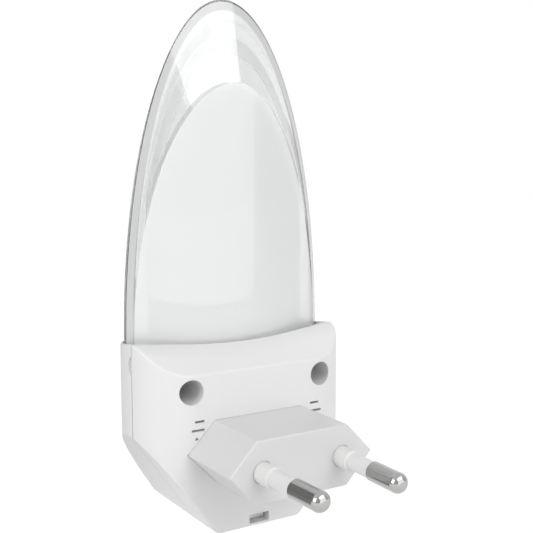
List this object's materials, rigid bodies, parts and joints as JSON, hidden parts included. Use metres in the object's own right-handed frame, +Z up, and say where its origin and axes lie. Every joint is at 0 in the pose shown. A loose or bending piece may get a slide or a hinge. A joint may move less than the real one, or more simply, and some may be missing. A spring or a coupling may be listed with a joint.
{
  "type": "plug-in night light",
  "caption": "Wall-plug night light: a tall clear arch lens on a D-shaped housing with a flat hexagonal plug body and round pins on its back.",
  "frame": {"origin": "middle of the plug body's engagement face, between the two pins", "axes": "+Z up along the lens, +Y towards the wall socket along the plug, +X to the left as seen facing the wall side"},
  "size_m": [0.05, 0.0675, 0.1107],
  "materials": {
    "housing_plastic": "satin",
    "plug_plastic": "satin",
    "sleeve_plastic": "satin",
    "pin_metal": "polished",
    "clear_acrylic": "polished",
    "opal_acrylic": "polished",
    "contact_brass": "plain",
    "board_laminate": "satin",
    "lamp_board_white": "satin",
    "lamp_epoxy": "polished",
    "tray_white": "satin",
    "film_case": "satin",
    "can_sleeve": "satin",
    "resistor_lacquer": "satin",
    "zener_glass": "polished",
    "black_epoxy": "matt",
    "sensor_ceramic": "satin",
    "screw_steel": "zinc plated"
  },
  "bodies": {
    "root": {"front_cover": "housing_plastic", "rear_cover": "housing_plastic", "plug_body": "plug_plastic", "line_pin": "pin_metal", "neutral_pin": "pin_metal", "line_pin_sleeve": "sleeve_plastic", "neutral_pin_sleeve": "sleeve_plastic", "line_contact": "contact_brass", "neutral_contact": "contact_brass", "main_board": "board_laminate", "led_board": "lamp_board_white", "led_1": "lamp_epoxy", "led_2": "lamp_epoxy", "led_3": "lamp_epoxy", "led_4": "lamp_epoxy", "reflector_tray": "tray_white", "lens_dome": "clear_acrylic", "lens_panel": "opal_acrylic", "light_pipe": "clear_acrylic", "light_sensor": "sensor_ceramic", "film_capacitor": "film_case", "smoothing_capacitor": "can_sleeve", "surge_resistor": "resistor_lacquer", "discharge_resistor": "resistor_lacquer", "rectifier_diode_1": "black_epoxy", "rectifier_diode_2": "black_epoxy", "rectifier_diode_3": "black_epoxy", "rectifier_diode_4": "black_epoxy", "zener_diode": "zener_glass", "switching_transistor": "black_epoxy", "cover_screws": "screw_steel", "board_screws": "screw_steel"}
  },
  "joints": []
}
